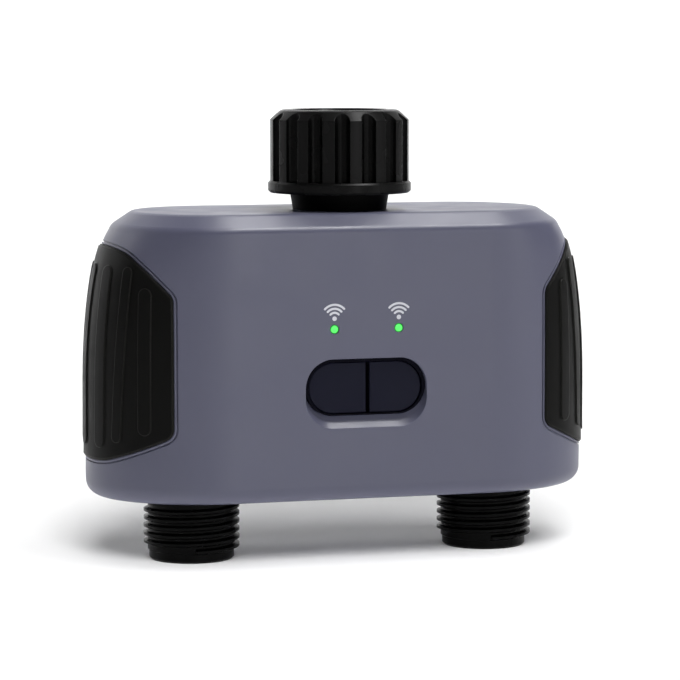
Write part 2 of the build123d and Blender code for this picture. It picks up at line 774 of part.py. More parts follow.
tail_low_z = neck_z - tail_plug
tail_groove_z = tail_low_z + tail_plug / 2
socket_radius = tail_radius + socket_clear
tail_ring = socket_radius - ring_gap - ring_section
groove_half = ring_section + ring_side
with BuildPart() as inlet_tailpiece:
    turned(
        0, pipe_y,
        (tail_bore, tail_low_z), (tail_radius, tail_low_z),
        (tail_radius, tail_groove_z - groove_half),
        (tail_ring - ring_section - ring_gap, tail_groove_z - groove_half),
        (tail_ring - ring_section - ring_gap, tail_groove_z + groove_half),
        (tail_radius, tail_groove_z + groove_half), (tail_radius, tail_flange_z),
        (tail_flange_radius, tail_flange_z), (tail_flange_radius, washer_z), (tail_bore, washer_z))
save(inlet_tailpiece, "inlet_tailpiece")

with BuildPart() as tailpiece_oring:
    ring(0, pipe_y, tail_ring, ring_section, tail_groove_z)
save(tailpiece_oring, "tailpiece_oring")

with BuildPart() as inlet_washer:
    disc(0, pipe_y, washer_radius, washer_z, washer_z + washer_height)
    disc(0, pipe_y, washer_bore, washer_z, washer_z + washer_height, Mode.SUBTRACT)
save(inlet_washer, "inlet_washer")

dome_radius = tail_bore - screen_clear
dome_inner = dome_radius - screen_thickness
with BuildPart() as filter_screen:
    with BuildSketch(Plane((0, pipe_y, washer_z), x_dir=(1, 0, 0), z_dir=(0, -1, 0))):
        with BuildLine():
            Polyline((dome_inner, screen_thickness), (screen_rim, screen_thickness),
                     (screen_rim, 0), (dome_radius, 0))
            ThreePointArc((dome_radius, 0), (dome_radius * screen_turn, -screen_rise * screen_turn_rise),
                          (0, -screen_rise))
            Line((0, -screen_rise), (0, screen_thickness - screen_rise))
            ThreePointArc(
                (0, screen_thickness - screen_rise),
                (dome_inner * screen_turn, screen_thickness - screen_rise * screen_turn_rise),
                (dome_inner, screen_thickness))
        make_face()
    revolve(axis=Axis((0, pipe_y, 0), (0, 0, 1)))
    with BuildSketch(Plane((0, pipe_y, washer_z - screen_rise - over))):
        Circle(screen_hole)
        for circle in range(1, screen_rows + 1):
            with PolarLocations(circle * screen_pitch, 6 * circle):
                Circle(screen_hole)
    extrude(amount=screen_rise + 2 * over, mode=Mode.SUBTRACT)
save(filter_screen, "filter_screen")

# Manifold: inlet stem, cross tube and the two valve chambers
outlet_x = outlet_spacing / 2
with BuildPart() as manifold:
    with BuildSketch(Plane((-outlet_x, pipe_y, cross_z), z_dir=(1, 0, 0))):
        Circle(cross_radius)
    extrude(amount=outlet_spacing)
    disc(0, pipe_y, stem_radius, cross_z - cross_radius, neck_z)
    for name, side in sides:
        disc(side * outlet_x, pipe_y, chamber_radius, manifold_z, rim_z)
    disc(0, pipe_y, stem_bore, cross_z - cross_bore, neck_z + over, Mode.SUBTRACT)
    disc(0, pipe_y, socket_radius, tail_low_z, neck_z + over, Mode.SUBTRACT)
    with BuildSketch(Plane((-outlet_x, pipe_y, cross_z), z_dir=(1, 0, 0))):
        Circle(cross_bore)
    extrude(amount=outlet_spacing, mode=Mode.SUBTRACT)
    for name, side in sides:
        x = side * outlet_x
        disc(x, pipe_y, chamber_bore, manifold_z + chamber_floor, rim_z + over, Mode.SUBTRACT)
        disc(x, pipe_y, plug_radius + plug_clear, manifold_z - over, rim_z, Mode.SUBTRACT)
        with BuildSketch(Plane((x, pipe_y, manifold_z - over))):
            with PolarLocations(clamp_circle, clamp_count, start_angle=clamp_turn):
                Circle(clamp_radius + hole_clear)
        extrude(amount=chamber_height + 2 * over, mode=Mode.SUBTRACT)
save(manifold, "manifold")

# Valve and solenoid on each outlet
thread_core = thread_diameter / 2 - thread_depth
collar_z = base_z - collar_height
seat_z = rim_z - seat_gap
plug_groove_z = manifold_z + chamber_floor / 2
plug_ring = plug_radius + plug_clear - ring_gap - ring_section
bonnet_z = rim_z + bonnet_flange
bobbin_z = dome_z + yoke_thickness
bobbin_top_z = bobbin_z + bobbin_height
yoke_top_z = bobbin_top_z + yoke_thickness
for name, side in sides:
    x = side * outlet_x

    with BuildPart() as outlet:
        turned(
            x, pipe_y,
            (outlet_bore, 0), (lead_radius - lead_chamfer, 0), (lead_radius, lead_chamfer),
            (lead_radius, lead_height), (thread_core, lead_height + lead_taper), (thread_core, collar_z),
            (collar_radius, collar_z), (collar_radius, floor_z), (flange_radius, floor_z),
            (flange_radius, manifold_z), (plug_radius, manifold_z),
            (plug_radius, plug_groove_z - groove_half),
            (plug_ring - ring_section - ring_gap, plug_groove_z - groove_half),
            (plug_ring - ring_section - ring_gap, plug_groove_z + groove_half),
            (plug_radius, plug_groove_z + groove_half), (plug_radius, manifold_z + plug_height),
            (seat_radius, manifold_z + plug_height), (seat_radius, seat_z), (seat_bore, seat_z),
            (seat_bore, floor_z), (outlet_bore, base_z - bore_taper), (outlet_bore, 0))
        ridge_low = lead_height + thread_root_width / 2
        ridge_high = collar_z - thread_root_width / 2
        add(thread_form(x, pipe_y, thread_core, thread_depth, ridge_low, ridge_high,
                        outlet_thread_turn))
        with BuildSketch(Plane((x, pipe_y, floor_z + clamp_seat))):
            with PolarLocations(clamp_circle, clamp_count, start_angle=clamp_turn):
                Circle(clamp_radius + clamp_fit)
        extrude(amount=flange_height, mode=Mode.SUBTRACT)
    save(outlet, f"{name}_outlet")

    with BuildPart() as outlet_oring:
        ring(x, pipe_y, plug_ring, ring_section, plug_groove_z)
    save(outlet_oring, f"{name}_outlet_oring")

    with BuildPart() as diaphragm:
        disc(x, pipe_y, diaphragm_radius, rim_z, core_z)
    save(diaphragm, f"{name}_diaphragm")

    with BuildPart() as diaphragm_core:
        disc(x, pipe_y, core_radius, core_z, core_z + core_height)
        disc(x, pipe_y, nub_radius, core_z, core_z + core_height + nub_height)
    save(diaphragm_core, f"{name}_diaphragm_core")

    with BuildPart() as bonnet:
        turned(
            x, pipe_y,
            (diaphragm_radius + hole_clear, rim_z), (chamber_radius, rim_z),
            (chamber_radius, bonnet_z), (bonnet_dome_radius, bonnet_z),
            (bonnet_dome_radius, dome_z), (tube_radius, dome_z), (tube_radius, tube_top_z),
            (0, tube_top_z), (0, tube_top_z - tube_cap), (tube_bore, tube_top_z - tube_cap),
            (tube_bore, cavity_z), (bonnet_cavity_radius, cavity_z),
            (bonnet_cavity_radius, core_z), (diaphragm_radius + hole_clear, core_z))
        with BuildSketch(Plane((x, pipe_y, rim_z - over))):
            with PolarLocations(clamp_circle, clamp_count, start_angle=clamp_turn):
                Circle(clamp_radius + hole_clear)
        extrude(amount=bonnet_flange + 2 * over, mode=Mode.SUBTRACT)
    save(bonnet, f"{name}_bonnet")

    with BuildPart() as bonnet_screws:
        with BuildSketch(Plane((x, pipe_y, floor_z + clamp_start))):
            with PolarLocations(clamp_circle, clamp_count, start_angle=clamp_turn):
                Circle(clamp_radius)
        extrude(amount=bonnet_z - floor_z - clamp_start)
        with BuildSketch(Plane((x, pipe_y, bonnet_z))):
            with PolarLocations(clamp_circle, clamp_count, start_angle=clamp_turn):
                Circle(clamp_head_radius)
        extrude(amount=clamp_head_height)
        with BuildSketch(Plane((x, pipe_y, bonnet_z + clamp_head_height / 2))):
            with PolarLocations(clamp_circle, clamp_count, start_angle=clamp_turn):
                RegularPolygon(clamp_radius, 6)
        extrude(amount=clamp_head_height, mode=Mode.SUBTRACT)
    save(bonnet_screws, f"{name}_bonnet_screws")

    with BuildPart() as plunger:
        disc(x, pipe_y, plunger_radius, plunger_z, plunger_top_z)
        disc(x, pipe_y, spring_pocket_radius, plunger_top_z - spring_pocket_depth,
             plunger_top_z + over, Mode.SUBTRACT)
    save(plunger, f"{name}_plunger")

    with BuildPart() as plunger_spring:
        spring_low = plunger_top_z - spring_pocket_depth + spring_wire
        spring_height = pole_z - spring_wire - spring_low
        path = Helix(spring_height / spring_turns, spring_height, spring_radius,
                     center=(x, pipe_y, spring_low))
        with BuildSketch(Plane(path @ 0, x_dir=(1, 0, 0), z_dir=path % 0)) as wire:
            Circle(spring_wire)
        sweep(wire.sketch, path=path, is_frenet=True)
    save(plunger_spring, f"{name}_plunger_spring")

    with BuildPart() as pole_piece:
        disc(x, pipe_y, tube_bore - tube_fit, pole_z, pole_z + pole_length)
    save(pole_piece, f"{name}_pole_piece")

    bobbin_bore = tube_radius + coil_clear
    with BuildPart() as coil_bobbin:
        turned(
            x, pipe_y,
            (bobbin_bore, bobbin_z), (bobbin_radius, bobbin_z),
            (bobbin_radius, bobbin_z + bobbin_flange),
            (bobbin_bore + bobbin_wall, bobbin_z + bobbin_flange),
            (bobbin_bore + bobbin_wall, bobbin_top_z - bobbin_flange),
            (bobbin_radius, bobbin_top_z - bobbin_flange), (bobbin_radius, bobbin_top_z),
            (bobbin_bore, bobbin_top_z))
    save(coil_bobbin, f"{name}_coil_bobbin")

    with BuildPart() as coil_winding:
        low, high = bobbin_z + bobbin_flange, bobbin_top_z - bobbin_flange
        disc(x, pipe_y, winding_radius, low, high)
        disc(x, pipe_y, bobbin_bore + bobbin_wall, low, high, Mode.SUBTRACT)
    save(coil_winding, f"{name}_coil_winding")

    with BuildPart() as coil_yoke:
        inner, outer = x - side * yoke_width / 2, x + side * (bobbin_radius + coil_clear)
        far = outer + side * yoke_thickness
        near_y, far_y = pipe_y - yoke_width / 2, pipe_y + yoke_width / 2
        block(min(inner, far), max(inner, far), near_y, far_y, dome_z, bobbin_z)
        block(min(inner, far), max(inner, far), near_y, far_y, bobbin_top_z, yoke_top_z)
        block(min(outer, far), max(outer, far), near_y, far_y, dome_z, yoke_top_z)
        disc(x, pipe_y, tube_radius + coil_clear, dome_z - over, yoke_top_z + over, Mode.SUBTRACT)
    save(coil_yoke, f"{name}_coil_yoke")

    with BuildPart() as coil_nut:
        with BuildSketch(Plane((x, pipe_y, yoke_top_z))):
            RegularPolygon(coil_nut_radius, 6)
            Circle(tube_radius + tube_fit, mode=Mode.SUBTRACT)
        extrude(amount=coil_nut_height)
    save(coil_nut, f"{name}_coil_nut")

# Buttons, their ring and their rubber domes
bezel_width_out = opening_width - 2 * bezel_clear
bezel_height_out = opening_height - 2 * bezel_clear
bezel_width_in = bezel_width_out - 2 * bezel_side
bezel_height_in = bezel_height_out - bezel_top - bezel_bottom
button_drop = (bezel_top - bezel_bottom) / 2
with BuildPart() as button_bezel:
    pill(bezel_width_out, bezel_height_out, front_y + bezel_sink, bezel_back_y)
    pill(bezel_width_out + 2 * bezel_flange, bezel_height_out + 2 * bezel_flange,
         button_back_y, bezel_back_y)
    pill(bezel_width_in, bezel_height_in, front_y - over, bezel_back_y + over, Mode.SUBTRACT, button_drop)
save(button_bezel, "button_bezel")

button_face_y = front_y + button_sink
button_width = bezel_width_in - 2 * button_clear
button_height = bezel_height_in - 2 * button_clear
for name, side in sides:
    gap, reach = button_split + side * button_gap / 2, side * opening_width
    with BuildPart() as button:
        pill(button_width, button_height, button_face_y, lip_back_y, drop=button_drop)
        block(min(gap, reach), max(gap, reach), button_face_y - over, lip_back_y + over,
              button_z - opening_height, button_z + opening_height, Mode.INTERSECT)
        front_face = faces().sort_by(Axis.Y)[0]
        fillet(front_face.edges(), button_edge)
        with BuildPart(mode=Mode.PRIVATE) as lip:
            pill(button_width + 2 * button_lip, button_height + 2 * button_lip,
                 lip_front_y, lip_back_y, drop=button_drop)
            block(min(gap, reach), max(gap, reach), lip_front_y - over, lip_back_y + over,
                  button_z - opening_height, button_z + opening_height, Mode.INTERSECT)
        add(lip.part)
    save(button, f"{name}_button")

    dome_x = (gap + side * button_width / 2) / 2
    press_z = button_z - button_drop
    with BuildPart() as button_dome:
        dome_height = board_face_y - lip_back_y
        with BuildSketch(Plane((dome_x, lip_back_y, press_z), x_dir=(1, 0, 0), z_dir=(0, 0, 1))):
            with BuildLine():
                Polyline(
                    (0, 0), (dome_high_radius, 0), (dome_low_radius, dome_height),
                    (dome_low_radius - dome_wall, dome_height),
                    (dome_high_radius - dome_wall, dome_wall), (0, dome_wall), close=True)
            make_face()
        revolve(axis=Axis((dome_x, 0, press_z), (0, 1, 0)))
    save(button_dome, f"{name}_button_dome")

# Circuit board, its parts and the light pipes
with BuildPart() as circuit_board:
    board_high = board_low + board_height
    block(-board_width / 2, board_width / 2, board_face_y, board_back_y, board_low, board_high)
    for x, z in board_screw_places():
        rod(x, z, board_screw_radius + hole_clear, board_face_y - over, board_back_y + over, Mode.SUBTRACT)
save(circuit_board, "circuit_board")

with BuildPart() as board_components:
    for x, z, width, height, thick in (
            processor, memory, valve_driver, regulator, capacitor, valve_socket, crystal):
        block(x - width / 2, x + width / 2, board_back_y, board_back_y + thick,
              z - height / 2, z + height / 2)
save(board_components, "board_components")

with BuildPart() as wireless_module:
    module_z = board_low + module_rise
    block(-module_width / 2, module_width / 2, board_back_y, board_back_y + module_thickness,
          module_z, module_z + module_height)
save(wireless_module, "wireless_module")

with BuildPart() as led_chips:
    for name, side in sides:
        x = side * light_spacing / 2
        block(x - chip_width / 2, x + chip_width / 2, board_face_y - chip_height, board_face_y,
              light_z - chip_width / 2, light_z + chip_width / 2)
save(led_chips, "led_chips")

for name, side in sides:
    x = side * light_spacing / 2
    with BuildPart() as light_pipe:
        rod(x, light_z, light_radius, front_y, board_face_y - chip_height - light_gap)
        fillet(edges().sort_by(Axis.Y)[0], light_radius / 3)
        rod(x, light_z, light_radius + light_flange, front_y + wall,
            front_y + wall + light_flange_height)
    save(light_pipe, f"{name}_light_pipe")

with BuildPart() as board_screws:
    for x, z in board_screw_places():
        rod(x, z, board_screw_head, board_back_y, board_back_y + board_screw_head_height)
        rod(x, z, board_screw_radius, board_back_y - board_screw_length, board_back_y)
save(board_screws, "board_screws")

# Battery box, cells, contacts, gasket and door
with BuildPart() as battery_box:
    block(-cells_half - box_wall, cells_half + box_wall, box_front_y, frame_y, box_low, box_high)
    block(-cells_half, cells_half, box_front_y + box_wall, frame_y + over,
          opening_low, opening_high, Mode.SUBTRACT)
save(battery_box, "battery_box")

cell_low = opening_low + contact_thickness
for index in range(cell_count):
    x = (index - (cell_count - 1) / 2) * cell_pitch
    nub_up = index % 2 == 0
    body_low = cell_low if nub_up else cell_low + cell_nub_height
    with BuildPart() as battery:
        disc(x, cell_y, cell_radius, body_low, body_low + cell_length)
        disc(x, cell_y, cell_nub_radius, cell_low, cell_low + cell_length + cell_nub_height)
    save(battery, f"battery_{index + 1}")

with BuildPart() as battery_contacts:
    for index in range(cell_count):
        x = (index - (cell_count - 1) / 2) * cell_pitch
        for low in (opening_low, opening_high - contact_thickness):
            block(x - contact_width / 2, x + contact_width / 2, cell_y - contact_width / 2,
                  cell_y + contact_width / 2, low, low + contact_thickness)
save(battery_contacts, "battery_contacts")

with BuildPart() as battery_gasket:
    add(gasket_seat.part)
save(battery_gasket, "battery_gasket")

with BuildPart() as battery_door:
    half_width = recess_half - door_clear
    top = recess_high - door_clear
    with BuildSketch(Plane((0, door_y, 0), x_dir=(1, 0, 0), z_dir=(0, -1, 0))):
        with Locations((0, (hinge_z + top) / 2)):
            Rectangle(2 * half_width, top - hinge_z)
        fillet(vertices().group_by(Axis.Y)[-1], door_corner)
    extrude(amount=-door_thickness)
    with BuildSketch(Plane((-half_width, hinge_y, hinge_z), z_dir=(1, 0, 0))):
        Circle(door_thickness / 2)
    extrude(amount=2 * half_width)
    with BuildSketch(Plane((-recess_half - hinge_length, hinge_y, hinge_z), z_dir=(1, 0, 0))):
        Circle(hinge_radius)
    extrude(amount=2 * (recess_half + hinge_length))
    for x in (-cell_pitch, 0, cell_pitch):
        block(x - door_rib_width / 2, x + door_rib_width / 2, door_y - door_rib_height, door_y,
              opening_low + door_rib_inset, opening_high - door_rib_inset)
save(battery_door, "battery_door")
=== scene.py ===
"""Two-outlet water timer: materials, printed light symbols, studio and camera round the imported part."""
import bpy
from math import cos, pi, radians, sin
from mathutils import Matrix, Vector


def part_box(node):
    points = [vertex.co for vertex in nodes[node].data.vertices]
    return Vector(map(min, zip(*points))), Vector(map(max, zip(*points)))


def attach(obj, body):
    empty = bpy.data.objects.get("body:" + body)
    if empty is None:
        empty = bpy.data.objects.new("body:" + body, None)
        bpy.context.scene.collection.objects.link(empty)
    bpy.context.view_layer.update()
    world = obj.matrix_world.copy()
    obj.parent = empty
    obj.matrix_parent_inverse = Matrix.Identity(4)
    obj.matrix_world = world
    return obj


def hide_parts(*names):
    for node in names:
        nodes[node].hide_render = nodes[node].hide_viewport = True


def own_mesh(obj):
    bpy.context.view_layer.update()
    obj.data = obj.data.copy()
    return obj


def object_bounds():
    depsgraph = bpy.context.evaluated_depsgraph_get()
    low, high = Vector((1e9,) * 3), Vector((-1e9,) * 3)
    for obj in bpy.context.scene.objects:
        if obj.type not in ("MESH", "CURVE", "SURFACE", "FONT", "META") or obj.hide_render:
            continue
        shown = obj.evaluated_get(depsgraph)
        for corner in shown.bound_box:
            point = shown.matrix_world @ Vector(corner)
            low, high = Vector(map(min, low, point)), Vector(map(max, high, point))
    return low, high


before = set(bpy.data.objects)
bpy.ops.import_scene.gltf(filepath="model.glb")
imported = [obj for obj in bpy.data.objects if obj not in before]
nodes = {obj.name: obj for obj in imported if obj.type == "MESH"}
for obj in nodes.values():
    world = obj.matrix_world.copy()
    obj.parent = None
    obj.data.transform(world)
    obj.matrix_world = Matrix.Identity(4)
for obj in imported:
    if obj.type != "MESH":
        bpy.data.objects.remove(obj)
cad_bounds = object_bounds()
MM = 0.001
MM_PER_METRE = 1000.0
WHITE = (1.0, 1.0, 1.0, 1.0)


# Node helpers
def node(tree, kind, **inputs):
    """A shader node with its inputs set or linked by name."""
    made = tree.nodes.new(kind)
    for name, value in inputs.items():
        socket = made.inputs[name.replace("_", " ")]
        if isinstance(value, bpy.types.NodeSocket):
            tree.links.new(value, socket)
        else:
            socket.default_value = value
    return made


def rgba(colour):
    return (*colour, 1.0)


def srgb(red, green, blue):
    """Linear colour from 8-bit display values."""
    def linear(value):
        value = value / 255
        return value / 12.92 if value <= 0.04045 else ((value + 0.055) / 1.055) ** 2.4
    return (linear(red), linear(green), linear(blue))


def shade(colour, factor):
    """Colour times a factor, with no channel over 1."""
    return tuple(min(channel * factor, 1.0) for channel in colour)


def ramp(tree, value, low, high, start, end):
    """Map a value from low..high to start..end."""
    mapped = node(tree, "ShaderNodeMapRange", Value=value, From_Min=low, From_Max=high,
                  To_Min=start, To_Max=end)
    return mapped.outputs["Result"]


def noise(tree, place, size_mm, detail, rough):
    """Noise with features of a size in millimetres."""
    made = node(tree, "ShaderNodeTexNoise", Vector=place, Scale=MM_PER_METRE / size_mm, Detail=detail,
                Roughness=rough)
    return made.outputs["Fac"]


def mixed(tree, factor, first, second):
    """Colour mix of two colours or sockets."""
    made = tree.nodes.new("ShaderNodeMix")
    made.data_type = "RGBA"
    for socket, value in ((made.inputs[0], factor), (made.inputs[6], first), (made.inputs[7], second)):
        if isinstance(value, bpy.types.NodeSocket):
            tree.links.new(value, socket)
        else:
            socket.default_value = value if isinstance(value, float) else rgba(value)
    return made.outputs[2]


# Finish shared by all materials
CLOUD_MM = 14.0                # size of the clouds in tone and gloss
NOISE_LOW, NOISE_HIGH = 0.3, 0.7       # range that the noise is stretched from
SPECKLE = 0.8                  # spread of the fine speckle's tone, as a share of the clouds'
SPECKLE_SHARE = 0.45           # share of the speckle in the tone
BEVEL_SAMPLES = 6
EDGE_START, EDGE_FULL = 0.98, 0.85     # cosine of the softened normal's turn where the painted edge highlight starts and is full
PAINTED_SHADE_SAMPLES = 8
PAINTED_SHADE_FULL, PAINTED_SHADE_NONE = 0.7, 1.0    # how open a recess is, from full painted shade to none
ROUGH_SPREAD = 0.06
COAT_ROUGH = 0.12


def moulded(name, colour, rough=0.45, specular=0.5, grain_mm=0.35, grain=0.012, cloud=0.05,
            soften=0.0, edge_highlight=1.0, painted_shade=1.0, painted_shade_mm=3.0, coat=0.0, ior=1.5, metal=0.0):
    """Moulded surface: grain in bump, cloudy tone and gloss, painted highlight on soft edges, painted
    shade in recesses.
    """
    material = bpy.data.materials.new(name)
    material.use_nodes = True
    tree = material.node_tree
    shader = tree.nodes["Principled BSDF"]
    place = tree.nodes.new("ShaderNodeTexCoord").outputs["Object"]
    clouds = noise(tree, place, CLOUD_MM, detail=3.0, rough=0.55)
    fine = noise(tree, place, grain_mm, detail=2.0, rough=0.6)
    tone = mixed(tree, ramp(tree, clouds, NOISE_LOW, NOISE_HIGH, 0.0, 1.0),
                 shade(colour, 1 - cloud), shade(colour, 1 + cloud))
    speckle = mixed(tree, ramp(tree, fine, NOISE_LOW, NOISE_HIGH, 0.0, 1.0),
                    shade(colour, 1 - cloud * SPECKLE), shade(colour, 1 + cloud * SPECKLE))
    tone = mixed(tree, SPECKLE_SHARE, tone, speckle)
    bump = node(tree, "ShaderNodeBump", Strength=1.0, Distance=grain * MM, Height=fine)
    if soften:
        bevel = node(tree, "ShaderNodeBevel", Radius=soften * MM)
        bevel.samples = BEVEL_SAMPLES
        tree.links.new(bevel.outputs["Normal"], bump.inputs["Normal"])
        # Painted highlight: edges are lighter in colour where the softened normal turns away from the
        # true one
        if edge_highlight != 1.0:
            facing = tree.nodes.new("ShaderNodeNewGeometry").outputs["True Normal"]
            match = tree.nodes.new("ShaderNodeVectorMath")
            match.operation = "DOT_PRODUCT"
            tree.links.new(bevel.outputs["Normal"], match.inputs[0])
            tree.links.new(facing, match.inputs[1])
            painted_edge_highlight = ramp(tree, match.outputs["Value"], EDGE_START, EDGE_FULL, 0.0, 1.0)
            tone = mixed(tree, painted_edge_highlight, tone, shade(colour, edge_highlight))
    # Painted shade: recesses are darker in colour where ambient occlusion finds them closed in
    if painted_shade != 1.0:
        occlusion_shade = node(tree, "ShaderNodeAmbientOcclusion", Distance=painted_shade_mm * MM)
        occlusion_shade.samples = PAINTED_SHADE_SAMPLES
        occlusion_shade.only_local = True
        flat = ramp(tree, occlusion_shade.outputs["AO"], PAINTED_SHADE_FULL, PAINTED_SHADE_NONE, 0.0, 1.0)
        tone = mixed(tree, flat, shade(colour, painted_shade), tone)
    tree.links.new(tone, shader.inputs["Base Color"])
    tree.links.new(bump.outputs["Normal"], shader.inputs["Normal"])
    gloss = ramp(tree, clouds, NOISE_LOW, NOISE_HIGH, rough - ROUGH_SPREAD, rough + ROUGH_SPREAD)
    tree.links.new(gloss, shader.inputs["Roughness"])
    shader.inputs["Specular IOR Level"].default_value = specular
    shader.inputs["IOR"].default_value = ior
    shader.inputs["Metallic"].default_value = metal
    if coat:
        shader.inputs["Coat Weight"].default_value = coat
        shader.inputs["Coat Roughness"].default_value = COAT_ROUGH
    return material


WAVE_RATE = 20                 # radians that the wave texture turns in a unit, at a scale of 1
WAVE_TURN = 2                  # radians that it turns here in one band_mm
WAVE_DISTORTION = 0.3


def banded(name, colour, other, band_mm, rough, metal, depth_mm):
    """Metal or wire with fine bands stacked upwards, which repeat every pi times band_mm."""
    material = moulded(name, colour, rough, metal=metal, grain_mm=0.5, grain=0.004)
    tree = material.node_tree
    shader = tree.nodes["Principled BSDF"]
    place = tree.nodes.new("ShaderNodeTexCoord").outputs["Object"]
    wave = node(tree, "ShaderNodeTexWave", Vector=place, Distortion=WAVE_DISTORTION,
                Scale=MM_PER_METRE / band_mm / WAVE_RATE * WAVE_TURN)
    wave.bands_direction = "Z"
    bands = wave.outputs["Fac"]
    tone = mixed(tree, bands, other, colour)
    tree.links.new(tone, shader.inputs["Base Color"])
    bump = node(tree, "ShaderNodeBump", Strength=1.0, Distance=depth_mm * MM, Height=bands)
    tree.links.new(bump.outputs["Normal"], shader.inputs["Normal"])
    return material


def dress(material, *names):
    """Put one material on CAD nodes."""
    for name in names:
        slots = nodes[name].data.materials
        if not len(slots):
            slots.append(material)
        for index in range(len(slots)):
            slots[index] = material


# Materials
# edge_highlight lightens the edges of case, grips and buttons as a painted highlight
case = moulded("case_plastic", srgb(93, 94, 114), rough=0.38, specular=0.45, grain_mm=0.3, grain=0.004,
               cloud=0.02, soften=0.35, edge_highlight=1.7)
grip = moulded("grip_rubber", srgb(10, 10, 9), rough=0.42, specular=0.2, ior=1.3, grain_mm=0.25,
               grain=0.008, cloud=0.12, soften=0.5, edge_highlight=7.0)
# The nut's flutes get painted shade: darker in colour where they are closed in
cap = moulded("nut_plastic", srgb(22, 22, 22), rough=0.26, specular=0.3, ior=1.2, grain_mm=0.3,
              grain=0.004, cloud=0.1, soften=0.4, painted_shade=0.04, painted_shade_mm=4.0)
spout = moulded("outlet_plastic", srgb(9, 9, 9), rough=0.3, specular=0.24, ior=1.2, grain_mm=0.4,
                grain=0.003, cloud=0.1, soften=0.2)
neck = moulded("neck_plastic", srgb(2, 2, 2), rough=0.5, specular=0.2, ior=1.2, cloud=0.1, soften=0.2)
button = moulded("button_plastic", srgb(23, 24, 40), rough=0.5, specular=0.1, grain_mm=0.25,
                 grain=0.003, cloud=0.04, soften=0.3, edge_highlight=3.0)
bezel = moulded("bezel_plastic", srgb(6, 6, 18), rough=0.45, specular=0.04, cloud=0.05, soften=0.2)
inner = moulded("inner_plastic", srgb(58, 59, 62), rough=0.5, grain_mm=0.4, grain=0.01, cloud=0.08)
seal = moulded("seal_rubber", srgb(30, 30, 31), rough=0.6, specular=0.3, grain_mm=0.2, grain=0.01)
silicone = moulded("silicone", srgb(188, 189, 192), rough=0.55, specular=0.4, grain_mm=0.2, grain=0.006)
nylon = moulded("bobbin_nylon", srgb(224, 219, 203), rough=0.5, grain_mm=0.4, grain=0.006)
steel = moulded("steel", srgb(190, 191, 194), rough=0.3, metal=1.0, grain_mm=0.2, grain=0.003)
spring = banded("spring_steel", srgb(196, 197, 200), srgb(170, 171, 174), band_mm=0.2, rough=0.28,
                metal=1.0, depth_mm=0.002)
screen = moulded("screen_steel", srgb(205, 206, 208), rough=0.25, metal=1.0, grain_mm=0.15, grain=0.003)
copper = banded("winding_copper", srgb(190, 98, 48), srgb(108, 50, 24), band_mm=0.35, rough=0.3,
                metal=0.8, depth_mm=0.06)
board = moulded("board_green", srgb(24, 92, 58), rough=0.35, grain_mm=0.6, grain=0.006, cloud=0.1)
chip = moulded("chip_black", srgb(28, 28, 30), rough=0.5, grain_mm=0.15, grain=0.006)
shield = moulded("module_metal", srgb(188, 190, 192), rough=0.35, metal=1.0, grain_mm=0.3, grain=0.004)
lamp = moulded("chip_white", srgb(235, 233, 220), rough=0.4, grain_mm=0.2, grain=0.003)
contact = moulded("contact_metal", srgb(205, 202, 190), rough=0.28, metal=1.0, grain_mm=0.2, grain=0.004)

LIGHT_CORE = 0.75 * MM         # fully lit radius of a light
LIGHT_RIM = 1.3 * MM           # its darkest radius
LIGHT_GLOW = 0.5


def green_light():
    """Clear green light pipe: a lit middle that fades towards a darker rim."""
    material = moulded("light_green", srgb(60, 190, 70), rough=0.22, specular=0.5, grain_mm=0.4,
                       grain=0.003, cloud=0.06, coat=0.6)
    tree = material.node_tree
    shader = tree.nodes["Principled BSDF"]
    low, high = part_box("right_light_pipe")
    place = tree.nodes.new("ShaderNodeTexCoord").outputs["Object"]
    axes = node(tree, "ShaderNodeSeparateXYZ", Vector=place)
    out = tree.nodes.new("ShaderNodeMath")
    out.operation = "ABSOLUTE"
    tree.links.new(axes.outputs["X"], out.inputs[0])
    flat = node(tree, "ShaderNodeCombineXYZ", X=out.outputs["Value"], Z=axes.outputs["Z"])
    away = tree.nodes.new("ShaderNodeVectorMath")
    away.operation = "DISTANCE"
    tree.links.new(flat.outputs["Vector"], away.inputs[0])
    away.inputs[1].default_value = ((low[0] + high[0]) / 2, 0.0, (low[2] + high[2]) / 2)
    fade = ramp(tree, away.outputs["Value"], LIGHT_CORE, LIGHT_RIM, 0.0, 1.0)
    glow = mixed(tree, fade, srgb(72, 246, 92), srgb(22, 96, 40))
    tree.links.new(glow, shader.inputs["Base Color"])
    tree.links.new(glow, shader.inputs["Emission Color"])
    shader.inputs["Emission Strength"].default_value = LIGHT_GLOW
    return material


CELL_BAND_RISE = 0.012         # middle of the coloured band above the cell's middle
CELL_BAND_HALF = 0.006
CELL_BARE_END = 2.2 * MM       # bare metal at each end


